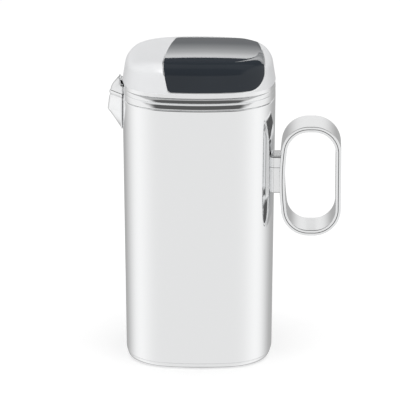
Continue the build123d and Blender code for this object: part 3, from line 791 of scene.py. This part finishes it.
def make_grain_group():
    """Moulded grain: fine even grain, a soft colour drift and a matching roughness."""
    group, entry, leave = new_group(
        "moulded_grain",
        [("Color", "NodeSocketColor", (0.5, 0.5, 0.5, 1)), ("Drift", "NodeSocketFloat", 0.05),
         ("Roughness", "NodeSocketFloat", 0.4), ("Spread", "NodeSocketFloat", 0.1),
         ("Scale", "NodeSocketFloat", 1.0)],
        [("Color", "NodeSocketColor"), ("Roughness", "NodeSocketFloat"), ("Height", "NodeSocketFloat")],
    )
    links = group.links
    place = group.nodes.new("ShaderNodeTexCoord")
    grain = group.nodes.new("ShaderNodeTexNoise")
    links.new(place.outputs["Object"], grain.inputs["Vector"])
    links.new(math_node(group, "MULTIPLY", entry.outputs["Scale"], 1400.0), grain.inputs["Scale"])
    grain.inputs["Detail"].default_value = 2.0
    drift = group.nodes.new("ShaderNodeTexNoise")
    links.new(place.outputs["Object"], drift.inputs["Vector"])
    drift.inputs["Scale"].default_value = 30.0
    value = math_node(group, "SUBTRACT", drift.outputs["Fac"], 0.5)
    value = math_node(group, "MULTIPLY", value, entry.outputs["Drift"])
    shade = group.nodes.new("ShaderNodeHueSaturation")
    links.new(entry.outputs["Color"], shade.inputs["Color"])
    links.new(math_node(group, "ADD", value, 1.0), shade.inputs["Value"])
    links.new(shade.outputs["Color"], leave.inputs["Color"])
    rough = math_node(group, "MULTIPLY", grain.outputs["Fac"], entry.outputs["Spread"])
    rough = math_node(group, "ADD", entry.outputs["Roughness"], rough, clamp=True)
    links.new(rough, leave.inputs["Roughness"])
    links.new(grain.outputs["Fac"], leave.inputs["Height"])
    return group


polish_group = make_polish_group()
grain_group = make_grain_group()


def start_material(name):
    """An empty material with one Principled surface."""
    material = bpy.data.materials.new(name)
    material.use_nodes = True
    return material, material.node_tree, material.node_tree.nodes["Principled BSDF"]


def put_group(tree, group, **values):
    """Places a shared effect with its own values."""
    node = tree.nodes.new("ShaderNodeGroup")
    node.node_tree = group
    for label, value in values.items():
        node.inputs[label].default_value = value
    return node


def raise_surface(tree, surface, height, strength, distance):
    """Feeds a height through a bump to the surface's normal."""
    bump = tree.nodes.new("ShaderNodeBump")
    bump.inputs["Strength"].default_value = strength
    bump.inputs["Distance"].default_value = distance
    tree.links.new(height, bump.inputs["Height"])
    tree.links.new(bump.outputs["Normal"], surface.inputs["Normal"])


def polished_metal(name, color, roughness, cloud=0.015, scratches=0.03, bump=0.02):
    """Bright metal under a hand polish."""
    material, tree, surface = start_material(name)
    surface.inputs["Base Color"].default_value = (*color, 1)
    surface.inputs["Metallic"].default_value = 1.0
    polish = put_group(tree, polish_group, Roughness=roughness, Cloud=cloud, Scratches=scratches)
    tree.links.new(polish.outputs["Roughness"], surface.inputs["Roughness"])
    raise_surface(tree, surface, polish.outputs["Height"], bump, 0.00001)
    return material


def brushed_metal(name, color, roughness):
    """Drawn steel with a fine upright grain."""
    material, tree, surface = start_material(name)
    surface.inputs["Base Color"].default_value = (*color, 1)
    surface.inputs["Metallic"].default_value = 1.0
    surface.inputs["Anisotropic"].default_value = 0.45
    polish = put_group(tree, polish_group, Roughness=roughness, Cloud=0.08, Scratches=0.12, Scale=3.0)
    tree.links.new(polish.outputs["Roughness"], surface.inputs["Roughness"])
    raise_surface(tree, surface, polish.outputs["Height"], 0.15, 0.00003)
    return material


def moulded(name, color, roughness, drift=0.05, spread=0.1, bump=0.1, grain=0.00002, metallic=0.0, coat=0.0):
    """Moulded plastic, lacquer or rubber with a fine grain."""
    material, tree, surface = start_material(name)
    surface.inputs["Metallic"].default_value = metallic
    surface.inputs["Coat Weight"].default_value = coat
    surface.inputs["Coat Roughness"].default_value = 0.02
    body = put_group(tree, grain_group, Color=(*color, 1), Drift=drift, Roughness=roughness, Spread=spread)
    tree.links.new(body.outputs["Color"], surface.inputs["Base Color"])
    tree.links.new(body.outputs["Roughness"], surface.inputs["Roughness"])
    raise_surface(tree, surface, body.outputs["Height"], bump, grain)
    return material


mirror_steel = polished_metal("mirror_steel", (0.93, 0.935, 0.94), 0.05)
mirror_ring = polished_metal("mirror_ring", (0.90, 0.905, 0.91), 0.06)
mirror_handle = polished_metal("mirror_handle", (0.92, 0.925, 0.93), 0.06)
cast_bracket = polished_metal("cast_bracket", (0.92, 0.925, 0.93), 0.2)
mirror_base = polished_metal("mirror_base", (0.92, 0.925, 0.93), 0.08)
bright_trim = polished_metal("bright_trim", (0.96, 0.965, 0.97), 0.05, scratches=0.01)
drawn_steel = brushed_metal("drawn_steel", (0.74, 0.745, 0.75), 0.24)
plain_steel = brushed_metal("plain_steel", (0.6, 0.6, 0.61), 0.35)
satin_silver = moulded(
    "satin_silver", (0.82, 0.826, 0.837), 0.34, drift=0.02, spread=0.06, metallic=0.2, bump=0.04
)
dark_gloss = moulded("dark_gloss", (0.026, 0.032, 0.040), 0.5, drift=0.2, bump=0.0, coat=0.45)
dark_gloss.node_tree.nodes["Principled BSDF"].inputs["Specular IOR Level"].default_value = 0.0
pale_plastic = moulded("pale_plastic", (0.78, 0.785, 0.79), 0.42)
grey_rubber = moulded("grey_rubber", (0.42, 0.425, 0.43), 0.7, bump=0.25)
# painted shadow: a dark grey finish for the handle's seam groove, standing in for the shade inside it
seam_painted_shadow = moulded("seam_painted_shadow", (0.10, 0.10, 0.105), 0.6)
spout_steel = polished_metal("spout_steel", (0.92, 0.925, 0.93), 0.12, cloud=0.03)


def dress(piece, material):
    """Gives a piece its only material."""
    piece.data.materials.clear()
    piece.data.materials.append(material)


def stand_for(piece, body, material, slot, *replaced):
    """Puts a finished piece on its body in place of the plain solids."""
    dress(piece, material)
    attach(piece, body)
    if replaced:
        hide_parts(*replaced)
    return piece


stand_for(make_shell(), "body", mirror_steel, "shell", "outer_shell")
# the strap's seam groove gets the painted shadow finish
paint_seam_shadow(stand_for(make_handle(), "body", mirror_handle, "handle", "handle_band"), seam_painted_shadow)
stand_for(make_dome(), "lid", satin_silver, "dome", "lid_dome")
stand_for(make_ring(), "lid", mirror_ring, "ring", "lid_ring")
stand_for(make_lug(), "lid", mirror_ring, "ring")
stand_for(make_beak(), "body", spout_steel, "spout", "spout_lip")
stand_for(cut_away(make_hood(), hinge_slot()), "flap", spout_steel, "spout", "spout_flap")
stand_for(
    barrel("flap_knuckle_front", KNUCKLE_RADIUS, -KNUCKLE_FAR, -KNUCKLE_NEAR), "flap", spout_steel, "spout"
)
stand_for(
    barrel("flap_knuckle_rear", KNUCKLE_RADIUS, KNUCKLE_NEAR, KNUCKLE_FAR), "flap", spout_steel, "spout"
)
stand_for(barrel("hinge_pin", PIN_RADIUS, -PIN_HALF, PIN_HALF), "lid", plain_steel, "screws", "flap_pin")
stand_for(make_panel(), "lid", dark_gloss, "panel", "lid_panel")
stand_for(make_trim(), "lid", bright_trim, "trim", "panel_trim")

for name, material in (
    ("base_cap", mirror_base),
    ("body_bracket", cast_bracket),
    ("handle_block", cast_bracket),
    ("inner_vessel", drawn_steel),
    ("neck_ring", pale_plastic),
    ("lid_liner", pale_plastic),
    ("base_frame", pale_plastic),
    ("vessel_pad", grey_rubber),
    ("foot_ring", grey_rubber),
    ("spout_gasket", grey_rubber),
    ("lid_gasket", grey_rubber),
    ("base_screws", plain_steel),
    ("handle_screws", plain_steel),
    ("lid_screws", plain_steel),
    ("handle_back_plate", plain_steel),
):
    dress(nodes[name], material)


# ---- studio


def smooth_step(tree, value, first, last):
    """A soft step from 0 to 1 between two levels."""
    node = tree.nodes.new("ShaderNodeMapRange")
    node.interpolation_type = "SMOOTHSTEP"
    node.inputs["From Min"].default_value = first
    node.inputs["From Max"].default_value = last
    tree.links.new(value, node.inputs["Value"])
    return node.outputs["Result"]


def tent_ramp(tree, share, stops):
    """Brightness from the front (0) round to the back (1)."""
    ramp = tree.nodes.new("ShaderNodeValToRGB")
    ramp.color_ramp.interpolation = "B_SPLINE"
    first, last = ramp.color_ramp.elements
    first.position, last.position = stops[0][0], stops[-1][0]
    first.color = (*[stops[0][1]] * 3, 1)
    last.color = (*[stops[-1][1]] * 3, 1)
    for position, level in stops[1:-1]:
        ramp.color_ramp.elements.new(position).color = (level, level, level, 1)
    tree.links.new(share, ramp.inputs["Fac"])
    return ramp.outputs["Color"]


def make_tent_group():
    """Brightness of the soft tent: low walls, high walls, a dark roof and the opening in it overhead."""
    group, entry, leave = new_group(
        "tent", [("Vector", "NodeSocketVector", None)], [("Brightness", "NodeSocketFloat")]
    )

    def unit_parts(scale):
        flat = group.nodes.new("ShaderNodeVectorMath")
        flat.operation = "MULTIPLY"
        flat.inputs[1].default_value = scale
        group.links.new(entry.outputs["Vector"], flat.inputs[0])
        unit = group.nodes.new("ShaderNodeVectorMath")
        unit.operation = "NORMALIZE"
        group.links.new(flat.outputs["Vector"], unit.inputs[0])
        parts = group.nodes.new("ShaderNodeSeparateXYZ")
        group.links.new(unit.outputs["Vector"], parts.inputs["Vector"])
        return parts.outputs

    level_parts, parts = unit_parts((1, 1, 0)), unit_parts((1, 1, 1))
    share = math_node(group, "ADD", math_node(group, "MULTIPLY", level_parts["Y"], 0.5), 0.5)
    low = tent_ramp(group, share, ((0.0, 0.82), (0.13, 0.83), (0.27, 0.89), (0.43, 0.98), (0.56, 0.99),
                                   (0.69, 0.90), (0.82, 0.70), (0.94, 0.50), (1.0, 0.40)))
    high = tent_ramp(group, share, ((0.0, 0.82), (0.3, 0.92), (0.5, 0.98), (1.0, 0.83)))

    def blend(first, second, mask):
        change = math_node(group, "MULTIPLY", mask, math_node(group, "SUBTRACT", second, first))
        return math_node(group, "ADD", first, change)

    # the dark roof reaches lower behind than in front
    front = math_node(group, "SUBTRACT", 1.0, smooth_step(group, level_parts["Y"], 0.2, 0.6))
    start = math_node(group, "ADD", math_node(group, "MULTIPLY", front, -0.09), 0.272)
    roof = group.nodes.new("ShaderNodeMapRange")
    roof.interpolation_type = "SMOOTHSTEP"
    group.links.new(parts["Z"], roof.inputs["Value"])
    group.links.new(start, roof.inputs["From Min"])
    fade = math_node(group, "ADD", math_node(group, "MULTIPLY", front, 0.17), 0.015)
    group.links.new(math_node(group, "ADD", start, fade), roof.inputs["From Max"])
    middle = smooth_step(group, math_node(group, "ABSOLUTE", parts["X"]), 0.85, 0.6)
    shaded = math_node(group, "MULTIPLY", roof.outputs["Result"], middle)
    shade = math_node(group, "SUBTRACT", 1.0, math_node(group, "MULTIPLY", shaded, 0.88))
    # straight overhead the tent lets some light through
    begins = smooth_step(group, parts["Y"], -0.45, -0.2)
    ends = smooth_step(group, parts["Y"], 0.3, 0.5)
    opening = math_node(group, "SUBTRACT", begins, ends, clamp=True)
    opening = math_node(group, "MULTIPLY", opening, smooth_step(group, parts["Z"], 0.5, 0.75))
    opening = math_node(group, "MULTIPLY", opening, 0.5)
    upper = math_node(group, "MAXIMUM", math_node(group, "MULTIPLY", high, shade), opening)
    brightness = blend(low, upper, smooth_step(group, parts["Z"], -0.12, 0.25))
    group.links.new(brightness, leave.inputs["Brightness"])
    return group


tent_group = make_tent_group()


def light_paths(tree):
    """Two masks: rays that see the white background, and rays of polished metal and glass."""
    path = tree.nodes.new("ShaderNodeLightPath")
    return path.outputs["Is Camera Ray"], math_node(
        tree, "MAXIMUM", path.outputs["Is Glossy Ray"], path.outputs["Is Transmission Ray"]
    )


world = bpy.data.worlds.new("soft_tent")
bpy.context.scene.world = world
world.use_nodes = True
tree = world.node_tree
tree.nodes.clear()
ending = tree.nodes.new("ShaderNodeOutputWorld")
background = tree.nodes.new("ShaderNodeBackground")
direction = tree.nodes.new("ShaderNodeTexCoord")
tent = put_group(tree, tent_group)
tree.links.new(direction.outputs["Generated"], tent.inputs["Vector"])
seen, reflected = light_paths(tree)
strength = math_node(tree, "MULTIPLY", reflected, tent.outputs["Brightness"])
diffuse = math_node(tree, "MULTIPLY", math_node(tree, "SUBTRACT", 1.0, reflected), 0.75)
lit = math_node(tree, "ADD", strength, diffuse)
lit = math_node(tree, "MULTIPLY", lit, math_node(tree, "SUBTRACT", 1.0, seen))
tree.links.new(math_node(tree, "ADD", lit, seen), background.inputs["Strength"])
background.inputs["Color"].default_value = (1, 1, 1, 1)
tree.links.new(background.outputs["Background"], ending.inputs["Surface"])


def make_floor():
    """A plain pale floor that keeps the pitcher's shadow."""
    size = 6000.0
    corners = [(-size, -size, 0), (size, -size, 0), (size, size, 0), (-size, size, 0)]
    floor = mesh_piece("floor", corners, [(0, 1, 2, 3)])
    material = bpy.data.materials.new("floor_white")
    material.use_nodes = True
    tree = material.node_tree
    tree.nodes.clear()
    ending = tree.nodes.new("ShaderNodeOutputMaterial")
    matt = tree.nodes.new("ShaderNodeBsdfDiffuse")
    matt.inputs["Color"].default_value = (0.8, 0.8, 0.8, 1)
    glow = tree.nodes.new("ShaderNodeEmission")
    seen = light_paths(tree)[0]
    tree.links.new(math_node(tree, "MULTIPLY", seen, 0.36), glow.inputs["Strength"])
    both = tree.nodes.new("ShaderNodeAddShader")
    tree.links.new(matt.outputs["BSDF"], both.inputs[0])
    tree.links.new(glow.outputs["Emission"], both.inputs[1])
    tree.links.new(both.outputs["Shader"], ending.inputs["Surface"])
    floor.visible_glossy = False
    dress(floor, material)


make_floor()


def soft_lamp(name, place, aim, width, height, power, only=None):
    """A large soft lamp turned to a point; it may light only some pieces."""
    data = bpy.data.lights.new(name, "AREA")
    data.shape = "RECTANGLE"
    data.size, data.size_y = width, height
    data.energy = power
    lamp = bpy.data.objects.new(name, data)
    bpy.context.scene.collection.objects.link(lamp)
    lamp.location = place
    lamp.rotation_euler = (Vector(aim) - Vector(place)).to_track_quat("-Z", "Y").to_euler()
    if only:
        chosen = bpy.data.collections.new(name + "_reach")
        for piece in only:
            chosen.objects.link(piece)
        lamp.light_linking.receiver_collection = chosen
    return lamp


overhead = soft_lamp("overhead", (0.2, -0.5, 1.8), (0, 0, 0.12), width=1.6, height=1.6, power=9)
overhead.visible_glossy = False
soft_lamp(
    "key", (-0.9, -1.7, 2.1), (0, 0, 0.2), width=0.9, height=0.9, power=15,
    only=[bpy.data.objects["lid_dome_cover"]],
)


def panel_card(name, left, right, low, high, power, stops):
    """A bright card behind the pitcher for the dark panel alone, brightest at its sharp upper edge."""
    middle = ((left + right) / 2, 1.2, (low + high) / 2)
    card = soft_lamp(name, middle, (middle[0], 0, middle[2]), right - left, high - low, power,
                     only=[bpy.data.objects["lid_panel_gloss"]])
    card.data.use_nodes = True
    tree = card.data.node_tree
    place = tree.nodes.new("ShaderNodeNewGeometry")
    split = tree.nodes.new("ShaderNodeSeparateXYZ")
    tree.links.new(place.outputs["Parametric"], split.inputs["Vector"])
    fade = tree.nodes.new("ShaderNodeValToRGB")
    fade.color_ramp.elements[0].position = stops[0]
    fade.color_ramp.elements[0].color = (0, 0, 0, 1)
    for position, level in stops[1:]:
        fade.color_ramp.elements.new(position).color = (level, level, level, 1)
    tree.links.new(split.outputs["Y"], fade.inputs["Fac"])
    tree.links.new(fade.outputs["Color"], tree.nodes["Emission"].inputs["Strength"])


panel_card(
    "card_behind", left=-1.0, right=1.0, low=0.46, high=0.613, power=4.2,
    stops=(0.04, (0.13, 0.04), (0.40, 0.21), (0.654, 0.45), (0.90, 0.87)),
)
panel_card(
    "card_beside", left=0.09, right=1.25, low=0.56, high=1.05, power=8.5,
    stops=(0.0, (0.1, 0.35), (0.5, 1.0)),
)

# Camera of the photograph: a long lens, a little above the lid
AZIMUTH = math.radians(1.5)
ELEVATION = math.radians(15.1)
DISTANCE = 3.0
AIM = Vector((0.0007, 0.0, 0.1224))
camera_data = bpy.data.cameras.new("camera")
camera_data.sensor_width = 36.0
camera_data.lens = 341.6
camera_data.clip_end = 50.0
camera = bpy.data.objects.new("camera", camera_data)
bpy.context.scene.collection.objects.link(camera)
back = Vector((
    math.sin(AZIMUTH) * math.cos(ELEVATION), -math.cos(AZIMUTH) * math.cos(ELEVATION), math.sin(ELEVATION)
))
camera.location = AIM + back * DISTANCE
camera.rotation_euler = (-back).to_track_quat("-Z", "Y").to_euler()
bpy.context.scene.camera = camera
bpy.context.scene.view_settings.view_transform = "Standard"
